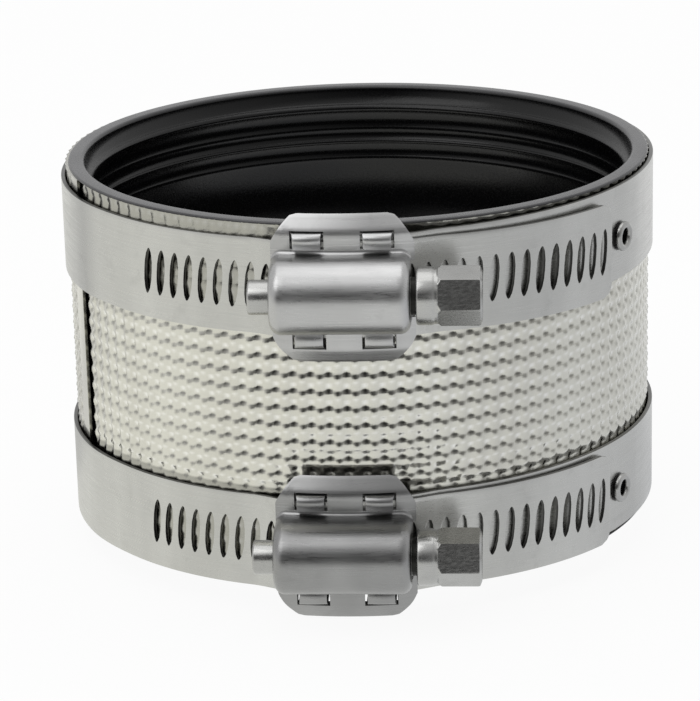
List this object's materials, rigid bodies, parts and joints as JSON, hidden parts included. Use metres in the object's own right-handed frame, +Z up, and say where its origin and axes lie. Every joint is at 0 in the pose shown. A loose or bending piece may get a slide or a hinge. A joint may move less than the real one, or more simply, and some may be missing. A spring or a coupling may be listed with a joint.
{
  "type": "hubless pipe coupling",
  "caption": "Ribbed rubber sleeve in a rolled embossed steel shield, held by two slotted worm-screw band clamps, joining plain-end pipes.",
  "frame": {"origin": "on the sleeve's axis at the lower pipe seat, the middle of the lower bead's crest, 3.65 mm above the sleeve's lower end", "axes": "+Z up the common axis of the sleeve and pipes, -Y towards the clamp housings, +X to the right seen from the housings, where the hex heads point"},
  "size_m": [0.0926, 0.1028, 0.0614],
  "materials": {
    "sleeve_rubber": "matt moulded black rubber",
    "shield_steel": "bright stainless sheet, embossed with a square pattern",
    "strap_steel": "plain rolled stainless strip",
    "housing_steel": "drawn stainless sheet, satin",
    "screw_steel": "turned and headed stainless, satin"
  },
  "bodies": {
    "coupling": {"sealing_sleeve": "sleeve_rubber", "shield": "shield_steel", "upper_band": "strap_steel", "upper_housing": "housing_steel", "upper_saddle": "strap_steel", "upper_rivet": "strap_steel", "lower_band": "strap_steel", "lower_housing": "housing_steel", "lower_saddle": "strap_steel", "lower_rivet": "strap_steel"},
    "upper_screw": {"upper_screw": "screw_steel"},
    "lower_screw": {"lower_screw": "screw_steel"}
  },
  "joints": [
    {"name": "upper_screw_turn", "type": "hinge", "parent": "coupling", "child": "upper_screw", "pos_m": [-0.00293, -0.05089, 0.04335], "axis": [0.9983, -0.0576, 0], "continuous": true},
    {"name": "lower_screw_turn", "type": "hinge", "parent": "coupling", "child": "lower_screw", "pos_m": [-0.00347, -0.05085, 0.00395], "axis": [0.9977, -0.068, 0], "continuous": true}
  ]
}
